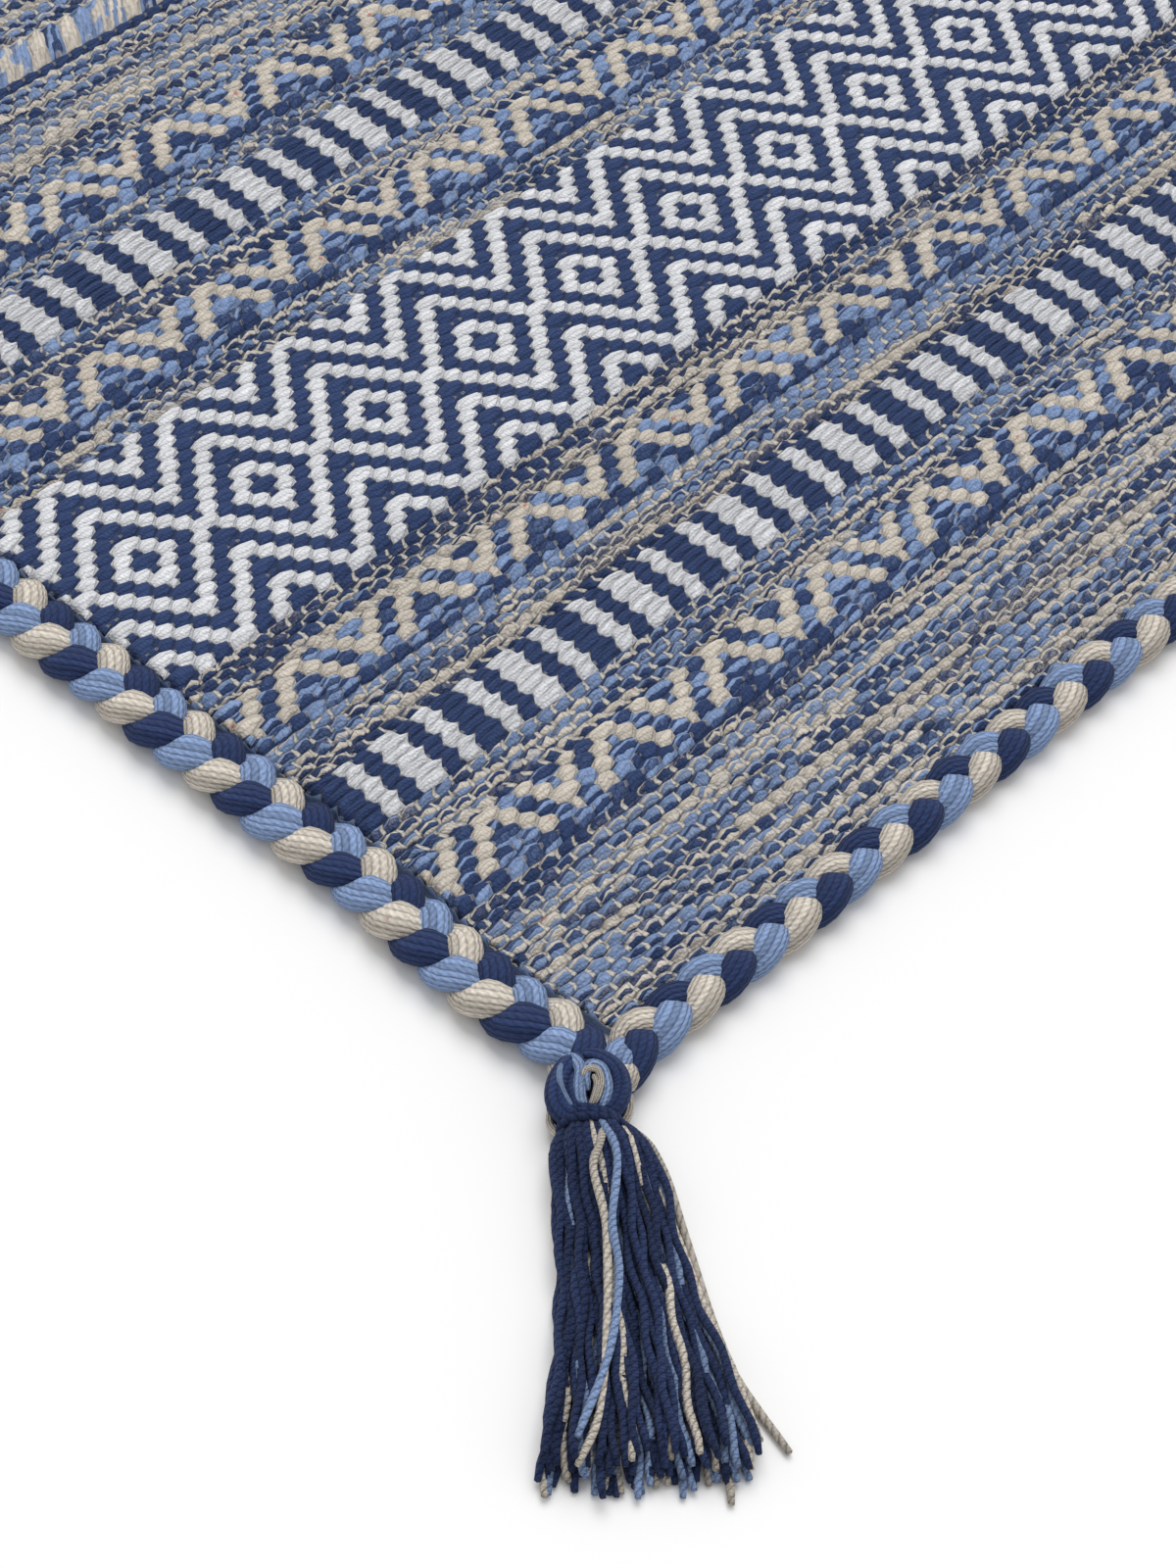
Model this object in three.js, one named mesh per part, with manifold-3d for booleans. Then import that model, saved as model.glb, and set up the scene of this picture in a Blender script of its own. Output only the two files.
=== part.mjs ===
import * as THREE from 'three';
import { mergeVertices } from 'three/addons/utils/BufferGeometryUtils.js';
import Module from 'manifold-3d';

const wasm = await Module();
wasm.setup();

// Weave: a warp every WARP across the runner, a pick every PICK along it
const WARP = 3.086;
const PICK = 3.789;
const WARPS = 212;
const PICKS = 495;
const CLOTH_WIDTH = WARPS * WARP;
const CLOTH_LENGTH = PICKS * PICK;
const GROUND_THICK = 4.2;

// Plaited edgings, measured from their outer edge inwards
const GAP = 0.4;
const SIDE_PLAIT_WIDTH = 20;
const SIDE_PLAIT_HEIGHT = 9;
const SIDE_LOBE = 10.87;
const END_PLAIT_WIDTH = 15;
const END_PLAIT_HEIGHT = 8.5;
const END_LOBE = 11.93;
const LOBE_RISE = 1.6;
const LOBE_REACH = 1.1;
const FLANK = 1.2;

const RUG_WIDTH = CLOTH_WIDTH + 2 * (SIDE_PLAIT_WIDTH + GAP);
const RUG_LENGTH = CLOTH_LENGTH + 2 * (END_PLAIT_WIDTH + GAP);

// How far the long edges bulge near a corner and over what length, and how far all edges wander
const CORNER_BULGE = 3.4;
const CORNER_BULGE_LENGTH = 95;
const SIDE_SWAY = { slow: -2, quick: 1 };
const END_SWAY = { bow: 1.5, quick: 0.6 };

// How far from the corner each plait stops at its outer edge, to leave room for the knot
const SIDE_PLAIT_STOP = 14.8;
const END_PLAIT_STOP = 8.2;

// The gathered strands between the two plaits and the knot: their clearance from the plaits' ends,
// how far their inner point lies from the cloth's corner, and their height
const GATHER_CLEAR = 0.4;
const GATHER_INNER = [3.7, 2.2];
const GATHER_HEIGHT = 7.6;

// Corner tassel: a knot, a skirt where its yarns are still pressed together, then the loose strands
const KNOT_RADIUS = 9.5;
const KNOT_CENTRE = [-0.6, 4.9, 8.4];
const KNOT_SIDES = 14;
const KNOT_RINGS = 9;
const TASSEL_ANGLE = THREE.MathUtils.degToRad(47.5);
const SKIRT_SIDES = 12;
const SKIRT_CROWN = 0.62;
const SKIRT_TOP = 8.6;
const STRAND_ROOT = 19.5;
const STRAND_WIDTH = 2.1;
const STRAND_HEIGHT = 2.1;
const LAYER_STEP = 2.5;
const STRAND_STEPS = 4;
const ROOT_SPREAD = 28;
const TIP_SPREAD = 48;

// Rows of the skirt: distance from the knot's centre, width and height
const SKIRT_ROWS = [
  { out: 4, wide: 15, high: 14 },
  { out: 9, wide: 20, high: 13.2 },
  { out: 14, wide: 28, high: 11.6 },
  { out: 21, wide: 31.5, high: SKIRT_TOP },
];

// Rows of strands from the floor up: how many lie side by side, and how far their tips reach
const STRAND_LAYERS = [
  { count: 12, reach: 107 },
  { count: 11, reach: 104 },
  { count: 10, reach: 100 },
];

// How far a strand bends sideways, and how far its tip is from its row's reach
const BEND = 1.4;
const BEND_PHASE = 2.6;
const BEND_SHIFT = 1.3;
const UNEVEN = 2.6;
const UNEVEN_STEP = 2.3;
const UNEVEN_SHIFT = 1.7;

// One yarn strays from the right side of the bundle: where it starts, its reach and its swing
const STRAY = { lane: 0.49, reach: 89, swing: 9 };

// Bands of thicker weave in one repeat, in picks from the middle of the diamonds
const REPEAT_PICKS = 98;
const REPEATS = 5;
const FIRST_MIDDLE = 51.5;
const BANDS = [
  { from: -38.3, to: -32.7, thick: 5.4 },
  { from: -28.9, to: -23.3, thick: 5.2 },
  { from: -19, to: -14, thick: 5.4 },
  { from: -10.5, to: 10.5, thick: 5.2 },
  { from: 13.3, to: 19, thick: 5.4 },
  { from: 22.3, to: 27.9, thick: 5.2 },
  { from: 30.3, to: 35.9, thick: 5.4 },
  { from: 46.8, to: 51.2, thick: 6.2 },
];
const BAND_EDGE = 0.35;

// The cloth follows its edgings' waves with a section at least this often, in picks
const LONGEST_SECTION = 3;

// Corners of one surface that lie closer together than this are the same corner
const SAME_POINT = 1e-4;

// The edges wander a little, and the long ones bulge near each corner. All of it dies out at the
// corners themselves.
function sideWave(y) {
  const t = Math.PI * (y / RUG_LENGTH + 0.5);
  const fromCorner = Math.min(CORNER_BULGE_LENGTH, RUG_LENGTH / 2 - Math.abs(y));
  const bulge = CORNER_BULGE * Math.sin((Math.PI * fromCorner) / CORNER_BULGE_LENGTH) ** 2;
  return bulge + Math.sin(t) * (SIDE_SWAY.slow * Math.sin(5 * t) + SIDE_SWAY.quick * Math.sin(11 * t));
}

function endWave(x) {
  const t = Math.PI * (x / RUG_WIDTH + 0.5);
  return Math.sin(t) * (END_SWAY.bow * Math.sin(t) + END_SWAY.quick * Math.sin(5 * t));
}

// Where a point of the flat plan lies once the edges wander
function wandered(x, y) {
  const across = (2 * x) / RUG_WIDTH;
  const along = (2 * y) / RUG_LENGTH;
  const left = -sideWave(y);
  const right = sideWave(-y);
  const near = -endWave(x);
  const far = endWave(-x);
  const dx = left + ((across + 1) / 2) * (right - left);
  const dy = near + ((along + 1) / 2) * (far - near);
  return [x + dx, y + dy];
}

// A closed geometry whose shared corners are merged and whose points are moved by place(p)
function shaped(geometry, place) {
  geometry.deleteAttribute('normal');
  geometry.deleteAttribute('uv');
  const merged = mergeVertices(geometry, SAME_POINT);
  const spot = merged.getAttribute('position');
  const p = new THREE.Vector3();
  for (let i = 0; i < spot.count; i += 1) {
    p.fromBufferAttribute(spot, i);
    place(p);
    spot.setXYZ(i, p.x, p.y, p.z);
  }
  return merged;
}

// Turns the faces over, for a piece that was mirrored into another corner
function turnedOver(geometry) {
  const index = geometry.getIndex();
  for (let i = 0; i < index.count; i += 3) {
    const b = index.getX(i + 1);
    index.setX(i + 1, index.getX(i + 2));
    index.setX(i + 2, b);
  }
  return geometry;
}

function toSolid(geometry) {
  return new wasm.Manifold(new wasm.Mesh({
    numProp: 3,
    vertProperties: new Float32Array(geometry.getAttribute('position').array),
    triVerts: new Uint32Array(geometry.getIndex().array),
  }));
}

function toGeometry(solid) {
  const mesh = solid.getMesh();
  const geometry = new THREE.BufferGeometry();
  geometry.setAttribute('position', new THREE.BufferAttribute(mesh.vertProperties, 3));
  geometry.setIndex(new THREE.BufferAttribute(mesh.triVerts, 1));
  return geometry;
}

// The woven cloth: flat below, with its thicker bands standing proud above
function bandSections() {
  const rows = [{ pick: 0, thick: GROUND_THICK }];
  for (let n = 0; n < REPEATS; n += 1) {
    const middle = FIRST_MIDDLE + n * REPEAT_PICKS;
    for (const band of BANDS) {
      const from = middle + band.from;
      const to = middle + band.to;
      if (from > 0 && to < PICKS - BAND_EDGE) {
        rows.push({ pick: from - BAND_EDGE, thick: GROUND_THICK });
        rows.push({ pick: from + BAND_EDGE, thick: band.thick });
        rows.push({ pick: to - BAND_EDGE, thick: band.thick });
        rows.push({ pick: to + BAND_EDGE, thick: GROUND_THICK });
      }
    }
  }
  rows.push({ pick: PICKS, thick: GROUND_THICK });
  return rows;
}

// The same sections with level ones between those that lie far apart
function evenSections(rows) {
  const even = [];
  rows.forEach((row, i) => {
    even.push(row);
    const span = i + 1 < rows.length ? rows[i + 1].pick - row.pick : 0;
    const steps = Math.ceil(span / LONGEST_SECTION);
    for (let k = 1; k < steps; k += 1) {
      even.push({ pick: row.pick + (k / steps) * span, thick: row.thick });
    }
  });
  return even;
}

function clothGeometry() {
  const rows = evenSections(bandSections());
  const last = rows.length - 1;
  const blank = new THREE.BoxGeometry(1, last, 1, 1, last, 1);
  return shaped(blank, (p) => {
    const row = rows[Math.round(p.y + last / 2)];
    const y = row.pick * PICK - CLOTH_LENGTH / 2;
    const [wx, wy] = wandered(p.x * CLOTH_WIDTH, y);
    p.set(wx, wy, p.z > 0 ? row.thick : 0);
  });
}

// A plait with a lobe on its outer and inner edge in turn. alongStop(q) is the distance from the
// corner at which the plait stops, q being 0 at its outer edge and 1 at its inner one.
function plaitGeometry({ total, width, height, lobe, alongStop, toPlan }) {
  const steps = 2 * Math.round((total - 2 * alongStop(0)) / lobe);
  const blank = new THREE.BoxGeometry(1, steps, 1, 1, steps, 1);
  return shaped(blank, (p) => {
    const k = Math.round(p.y + steps / 2);
    const q = p.x + 0.5;
    const top = p.z > 0;
    const inner = q > 0.5;
    const lobed = (k % 2 === 0) === inner ? 1 : 0;
    const stop = alongStop(q);
    const along = stop + (k / steps) * (total - 2 * stop);
    let inward = q * width;
    if (!inner) inward += top ? (1 - lobed) * LOBE_REACH : FLANK;
    if (inner) inward -= top ? (1 - lobed) * LOBE_REACH : 0;
    const [x, y] = toPlan(inward, along);
    const [wx, wy] = wandered(x, y);
    p.set(wx, wy, top ? height - (1 - lobed) * LOBE_RISE : 0);
  });
}

function sidePlaitGeometry() {
  return plaitGeometry({
    total: RUG_LENGTH,
    width: SIDE_PLAIT_WIDTH,
    height: SIDE_PLAIT_HEIGHT,
    lobe: SIDE_LOBE,
    alongStop: (q) => SIDE_PLAIT_STOP + q * (END_PLAIT_WIDTH - SIDE_PLAIT_STOP),
    toPlan: (inward, along) => [inward - RUG_WIDTH / 2, along - RUG_LENGTH / 2],
  });
}

function endPlaitGeometry() {
  const inside = SIDE_PLAIT_WIDTH + GAP;
  return turnedOver(plaitGeometry({
    total: RUG_WIDTH,
    width: END_PLAIT_WIDTH,
    height: END_PLAIT_HEIGHT,
    lobe: END_LOBE,
    alongStop: (q) => END_PLAIT_STOP + q * (inside - END_PLAIT_STOP),
    toPlan: (inward, along) => [along - RUG_WIDTH / 2, inward - RUG_LENGTH / 2],
  }));
}

// Corner coordinates: x and y run inwards along the two outer edges. The tassel's own frame has
// "out" along the tassel away from the knot and "side" across it.
function fromKnot(out, side) {
  const x = KNOT_CENTRE[0] - out * Math.cos(TASSEL_ANGLE) + side * Math.sin(TASSEL_ANGLE);
  const y = KNOT_CENTRE[1] - out * Math.sin(TASSEL_ANGLE) - side * Math.cos(TASSEL_ANGLE);
  return [x, y];
}

// The knot proper, flat where it meets the floor
function knotSolid() {
  const ball = new THREE.SphereGeometry(KNOT_RADIUS, KNOT_SIDES, KNOT_RINGS);
  const shape = shaped(ball, (p) => {
    p.set(KNOT_CENTRE[0] + p.x, KNOT_CENTRE[1] + p.z, Math.max(0, KNOT_CENTRE[2] - p.y));
  });
  return toSolid(shape);
}

// The plaits' strands gathered into the knot: it fills the corner between the two plaits
function gatherSolid() {
  const cornerX = SIDE_PLAIT_WIDTH + GAP;
  const cornerY = END_PLAIT_WIDTH + GAP;
  const plan = new THREE.Shape([
    new THREE.Vector2(0, 0),
    new THREE.Vector2(END_PLAIT_STOP - GATHER_CLEAR - FLANK / 2, GATHER_CLEAR),
    new THREE.Vector2(cornerX - GATHER_INNER[0], cornerY - GATHER_INNER[1]),
    new THREE.Vector2(GATHER_CLEAR, SIDE_PLAIT_STOP - GATHER_CLEAR),
  ]);
  const block = new THREE.ExtrudeGeometry(plan, { depth: GATHER_HEIGHT, bevelEnabled: false });
  return toSolid(shaped(block, () => {}));
}

function skirtSolid() {
  const last = SKIRT_ROWS.length - 1;
  const blank = new THREE.CylinderGeometry(1, 1, last, SKIRT_SIDES, last);
  const shape = shaped(blank, (p) => {
    const row = SKIRT_ROWS[Math.round(last / 2 - p.y)];
    const angle = Math.atan2(p.z, p.x);
    const inside = Math.hypot(p.x, p.z) < 0.5 ? 0 : 1;
    const side = (inside * Math.cos(angle) * row.wide) / 2;
    const high = row.high * (0.5 + SKIRT_CROWN * inside * Math.sin(angle));
    const [x, y] = fromKnot(row.out, side);
    p.set(x, y, Math.min(row.high, Math.max(0, high)));
  });
  return toSolid(shape);
}

// One three-sided strand lying level on its flat side. lane is -0.5 to 0.5 across the tassel.
function strandSolid(lane, layer, reach, stray) {
  const blank = new THREE.CylinderGeometry(1, 1, 1, 3, STRAND_STEPS);
  const floor = layer * LAYER_STEP;
  const shape = shaped(blank, (p) => {
    const t = 0.5 - p.y;
    const angle = Math.atan2(p.x, p.z);
    const rim = Math.hypot(p.x, p.z) < 0.5 ? 0 : 1;
    const out = STRAND_ROOT + t * (reach - STRAND_ROOT);
    const spread = ROOT_SPREAD + t * (TIP_SPREAD - ROOT_SPREAD);
    const bend = BEND * Math.sin(BEND_PHASE * t + BEND_SHIFT * layer) * t + stray * t * t;
    const side = lane * spread + bend;
    const across = rim * Math.sin(angle) * (STRAND_WIDTH / Math.sqrt(3));
    const up = (rim * (Math.cos(angle) + 0.5)) / 1.5 + (1 - rim) / 3;
    const [x, y] = fromKnot(out, side + across);
    p.set(x, y, floor + up * STRAND_HEIGHT);
  });
  return toSolid(shape);
}

function tasselSolid(turn) {
  const pieces = [knotSolid(), gatherSolid(), skirtSolid()];
  STRAND_LAYERS.forEach((row, layer) => {
    for (let i = 0; i < row.count; i += 1) {
      const lane = (i + 0.5) / row.count - 0.5;
      const uneven = UNEVEN * Math.sin(UNEVEN_STEP * i + UNEVEN_SHIFT * layer + turn);
      pieces.push(strandSolid(lane, layer, row.reach + uneven, 0));
    }
  });
  pieces.push(strandSolid(STRAY.lane, 0, STRAY.reach, STRAY.swing));
  return pieces.reduce((whole, piece) => whole.add(piece));
}

// Moves a tassel from corner coordinates to its corner: sx and sy are -1 on the left and near side
function tasselGeometry(sx, sy, turn) {
  const geometry = shaped(toGeometry(tasselSolid(turn)), (p) => {
    p.set(-sx * (p.x - RUG_WIDTH / 2), -sy * (p.y - RUG_LENGTH / 2), p.z);
  });
  return sx * sy > 0 ? geometry : turnedOver(geometry);
}

function named(name, geometry, colour) {
  geometry.computeVertexNormals();
  const finish = new THREE.MeshStandardMaterial({ color: colour, roughness: 0.95, metalness: 0 });
  const mesh = new THREE.Mesh(geometry, finish);
  mesh.name = name;
  return mesh;
}

const runner = new THREE.Group();
runner.add(named('cloth', clothGeometry(), 0x6d7a99));

const sides = [['plait_left', 0], ['plait_right', Math.PI]];
for (const [name, turn] of sides) {
  const plait = named(name, sidePlaitGeometry(), 0x5f7098);
  plait.rotation.z = turn;
  runner.add(plait);
}

const ends = [['plait_near', 0], ['plait_far', Math.PI]];
for (const [name, turn] of ends) {
  const plait = named(name, endPlaitGeometry(), 0x5f7098);
  plait.rotation.z = turn;
  runner.add(plait);
}

const corners = [
  ['tassel_near_left', -1, -1, 0],
  ['tassel_near_right', 1, -1, 1],
  ['tassel_far_right', 1, 1, 0],
  ['tassel_far_left', -1, 1, 1],
];
for (const [name, sx, sy, turn] of corners) {
  runner.add(named(name, tasselGeometry(sx, sy, turn), 0x2f3d66));
}

export default runner;
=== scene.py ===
import math

import bmesh
import bpy
import numpy as np
from mathutils import Matrix


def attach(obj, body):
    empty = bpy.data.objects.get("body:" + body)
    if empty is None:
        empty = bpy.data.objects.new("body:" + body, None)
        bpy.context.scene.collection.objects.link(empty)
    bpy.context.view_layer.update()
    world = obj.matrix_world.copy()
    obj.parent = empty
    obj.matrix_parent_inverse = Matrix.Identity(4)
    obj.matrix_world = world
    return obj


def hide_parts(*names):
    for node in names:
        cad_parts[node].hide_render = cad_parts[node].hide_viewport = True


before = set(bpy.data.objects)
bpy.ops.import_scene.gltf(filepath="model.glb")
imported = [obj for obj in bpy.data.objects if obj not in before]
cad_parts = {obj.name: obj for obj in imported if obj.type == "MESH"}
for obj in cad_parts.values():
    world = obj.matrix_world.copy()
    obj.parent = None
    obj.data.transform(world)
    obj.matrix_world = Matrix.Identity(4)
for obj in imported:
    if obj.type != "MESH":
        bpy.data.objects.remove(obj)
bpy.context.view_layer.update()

# Camera: looks down at 47 degrees on the near left corner, where two edgings meet in a tassel.
# The columns are its right, up and back directions, and its place in metres.
eye = bpy.data.objects.new("camera", bpy.data.cameras.new("camera"))
bpy.context.scene.collection.objects.link(eye)
eye.matrix_world = Matrix((
    (0.68014, 0.51166, -0.52498, -0.7791),
    (-0.73059, 0.53211, -0.42790, -1.2914),
    (0.06041, 0.67458, 0.73572, 0.7124),
    (0.0, 0.0, 0.0, 1.0),
))
eye.data.sensor_width = 36.0
eye.data.lens = 86.9
eye.data.clip_start = 0.05
bpy.context.scene.camera = eye


# Floor and light: a plain white studio floor under an even white sky, with one broad soft light
# from behind, as for a catalogue photograph.
def plug(socket, value):
    """Gives a socket a number, a colour, or what another node puts out."""
    value = getattr(value, "socket", value)
    if isinstance(value, bpy.types.NodeSocket):
        socket.id_data.links.new(value, socket)
    else:
        socket.default_value = value


def set_node(node, **values):
    """Sets a node's inputs by name."""
    for name, value in values.items():
        plug(node.inputs[name.replace("_", " ")], value)


def new_finish(name, colour, roughness):
    """A material whose shader has this colour and roughness, to be wired further."""
    finish = bpy.data.materials.new(name)
    finish.use_nodes = True
    shader = finish.node_tree.nodes["Principled BSDF"]
    set_node(shader, Base_Color=(*colour, 1.0), Roughness=roughness)
    finish.diffuse_color = (*colour, 1.0)
    return finish, finish.node_tree, shader


def put_in_scene(name, bm, finish):
    """Makes a finished piece of a bmesh, smooth, with its object at the origin."""
    shape = bpy.data.meshes.new(name)
    bm.to_mesh(shape)
    bm.free()
    shape.shade_smooth()
    shape.materials.append(finish)
    piece = bpy.data.objects.new(name, shape)
    bpy.context.scene.collection.objects.link(piece)
    return piece


# Half the floor's width, in metres
FLOOR_HALF = 12.0
floor_bm = bmesh.new()
bmesh.ops.create_grid(floor_bm, x_segments=2, y_segments=2, size=FLOOR_HALF)
floor_finish, _, _ = new_finish("studio_floor", (0.89, 0.89, 0.89), 0.8)
floor = put_in_scene("studio_floor", floor_bm, floor_finish)

sky = bpy.data.worlds.new("studio")
sky.use_nodes = True
set_node(sky.node_tree.nodes["Background"], Color=(1.0, 1.0, 1.0, 1.0), Strength=0.68)
bpy.context.scene.world = sky

lamp = bpy.data.objects.new("soft_lamp", bpy.data.lights.new("soft_lamp", "SUN"))
bpy.context.scene.collection.objects.link(lamp)
lamp.data.energy = 1.65
lamp.data.angle = math.radians(48)
lamp.rotation_euler = (math.radians(32), 0.0, math.radians(128))
bpy.context.scene.view_settings.view_transform = "Standard"

# Cloth: cotton wefts, each a bundle of loosely spun yarns, woven over thin natural warps. Plain
# ground alternates with bands whose stitches cross up to three warps: zigzags, bars, diamonds,
# and a slanting soumak row between the repeats. Sizes of the cloth and its edgings are in mm.
MM = 0.001
WARP = 3.086
PICK = 3.789
WARPS = 212
PICKS = 495
CLOTH_WIDTH = WARPS * WARP
CLOTH_LENGTH = PICKS * PICK
SIDE_EDGING = 20.4
END_EDGING = 15.4
RUG_WIDTH = CLOTH_WIDTH + 2 * SIDE_EDGING
RUG_LENGTH = CLOTH_LENGTH + 2 * END_EDGING

NAVY = (0.036, 0.060, 0.150)
BLUE = (0.225, 0.315, 0.520)
BEIGE = (0.600, 0.545, 0.475)
WHITE = (0.70, 0.71, 0.74)
YARNS = np.array([NAVY, BLUE, BEIGE, WHITE])
N, B, E, W = 0, 1, 2, 3

# Bands of one repeat in picks from the middle of its diamonds: kind, end, rows of weft
REPEAT = [
    ("ground", -38.3, 9), ("zigzag", -32.7, 5), ("ground", -28.9, 4), ("bars", -23.3, 7),
    ("ground", -19.0, 5), ("zigzag", -14.0, 5), ("ground", -10.5, 4), ("diamond", 10.5, 21),
    ("ground", 13.3, 3), ("zigzag", 19.0, 5), ("ground", 22.3, 3), ("bars", 27.9, 7),
    ("ground", 30.3, 3), ("zigzag", 35.9, 5), ("ground", 46.8, 12),
]
REPEATS = 5
REPEAT_PICKS = 98
FIRST_MIDDLE = 51.5
# The same for what lies between two repeats, from BETWEEN on, and for the ground at both ends
BETWEEN = -51.2
BETWEEN_REPEATS = [("line", -50.5, 1), ("soumak", -46.8, 3)]
NEAR_END = ("ground", -38.3, 14)
FAR_END = ("ground", 51.5, 16)

# Level of the valleys and of the tops of each kind's wefts above the floor, in mm
LEVELS = {
    "ground": (2.3, 5.3), "zigzag": (3.7, 6.7), "bars": (4.0, 6.0), "diamond": (4.0, 6.0),
    "line": (3.8, 5.0), "soumak": (4.2, 7.4),
}
chance = np.random.default_rng(7)


def side_wave(y):
    """How far a long edge wanders outwards: a bulge by each corner, and slow waves between."""
    bulge_length, bulge_out = 95, 3.4
    t = np.pi * (y / RUG_LENGTH + 0.5)
    from_end = np.clip(RUG_LENGTH / 2 - np.abs(y), 0, bulge_length)
    bulge = bulge_out * np.sin(np.pi * from_end / bulge_length) ** 2
    return bulge + np.sin(t) * (np.sin(11 * t) - 2 * np.sin(5 * t))


def end_wave(x):
    """How far a short edge wanders outwards: a slight bow, and slow waves."""
    t = np.pi * (x / RUG_WIDTH + 0.5)
    return np.sin(t) * (1.5 * np.sin(t) + 0.6 * np.sin(5 * t))


def wandered(x, y):
    """Where points of the flat plan lie, in mm, once the edges wander as the solids' do."""
    across = (2 * x / RUG_WIDTH + 1) / 2
    along = (2 * y / RUG_LENGTH + 1) / 2
    left, right = -side_wave(y), side_wave(-y)
    near, far = -end_wave(x), end_wave(-x)
    return x + left + across * (right - left), y + near + along * (far - near)


def weft_rows():
    """Every row of weft from the near end: kind, number in its band, near and far edge."""
    rows = []
    for n in range(REPEATS):
        middle = FIRST_MIDDLE + REPEAT_PICKS * n
        if n == 0:
            start, bands = -FIRST_MIDDLE, [NEAR_END] + REPEAT[1:]
        else:
            start, bands = BETWEEN, BETWEEN_REPEATS + REPEAT
        if n == REPEATS - 1:
            bands = bands[:-1] + [FAR_END]
        for kind, end, count in bands:
            step = (end - start) / count
            for k in range(count):
                rows.append((kind, k, middle + start + k * step, middle + start + (k + 1) * step))
            start = end
    return rows


# Rows whose stitches all cross two warps, which include the first one of a zigzag: their pairs of
# yarns, and the step from one to the next
PAIRED_ROWS = {
    "line": ([(N, N)], 1),
    "soumak": ([(E, E), (B, E), (E, B), (B, B), (E, E), (B, N)], 5),
    "zigzag": ([(N, B), (B, N), (N, N), (N, B)], 7),
}
# Width of a figure and place of the first one's middle, in warps, and the middle row of a diamond
FIGURE = 14
FIRST_FIGURE = 8
MIDDLE_ROW = 10
# Warps from a figure's middle at which a stitch starts, in rows whose long stitch crosses the
# middle and in those with a short stub on it
STARTS_CROSSED = (-5, -3, -1, 2, 4, 6)
STARTS_STUB = (-7, -6, -4, -2, 0, 1, 3, 5)
# Which stitches, by their distance from the middle, are natural in each row of a zigzag
ZIGZAG = {1: (3, 7), 2: (2, 6), 3: (1, 5), 4: (0, 4)}


def figure_yarns(kind, k, from_middle, crossed, group):
    """A stitch's two yarns, by its row and by how far it lies from the middle of its figure."""
    if kind == "bars":
        return (W, W) if group in (0, 4) else (N, N)
    if kind == "zigzag":
        return (E, E) if group in ZIGZAG[k] else (N, B)
    if group in (0, FIGURE // 2) and not crossed:
        if abs(from_middle) % 4 == 1:
            return (N, N)
        stub = from_middle < 0 if group == 0 else from_middle > 0
        return (W, W) if stub else (N, N)
    return (W, W) if (abs(from_middle) + group) % 4 == 2 else (N, N)


def chart(kind, k):
    """One row of a band: whether a stitch starts at each warp, and that stitch's two yarns."""
    if kind in ("line", "soumak") or (kind == "zigzag" and k == 0):
        pairs, step = PAIRED_ROWS[kind]
        colours = [pairs[w // 2 * step % len(pairs)] for w in range(WARPS)]
        return np.arange(WARPS) % 2 == 0, np.array(colours)
    half = FIGURE // 2
    from_middle = k - MIDDLE_ROW if kind == "diamond" else 0
    crossed = kind == "bars" or (from_middle if kind == "diamond" else k) % 2 == 0
    places = (np.arange(WARPS) - FIRST_FIGURE + half) % FIGURE - half
    starts = np.isin(places, STARTS_CROSSED if crossed else STARTS_STUB)
    starts[0] = True
    colours = []
    for far in np.abs(places):
        if crossed:
            group = min(far // 2 * 2, 6)
        else:
            group = (far - 1) // 2 * 2 + 1 if far else 0
        colours.append(figure_yarns(kind, k, from_middle, crossed, group))
    return starts, np.array(colours)


# What the material knows of every warp of every row: the place along its stitch, from -1 to 1, at
# the warp's left and right, how many warps that stitch crosses, its yarns, and its luck. Full is
# how proud a row stands at each gap between warps.
rows = weft_rows()
ROWS = len(rows)
is_ground = np.array([kind == "ground" for kind, _, _, _ in rows])
warp = np.arange(WARPS)
warp_gap = np.arange(WARPS + 1)
full = np.zeros((ROWS, WARPS + 1))
s_left, s_right, length, seed, lot = np.zeros((5, ROWS, WARPS))
yarn_a, yarn_b = np.zeros((2, ROWS, WARPS, 3))
GROUND_MIXES = [
    (N, B), (B, N), (N, B), (B, E), (N, B), (B, B), (B, N), (N, E), (B, N), (N, N), (B, N), (N, B),
]
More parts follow.
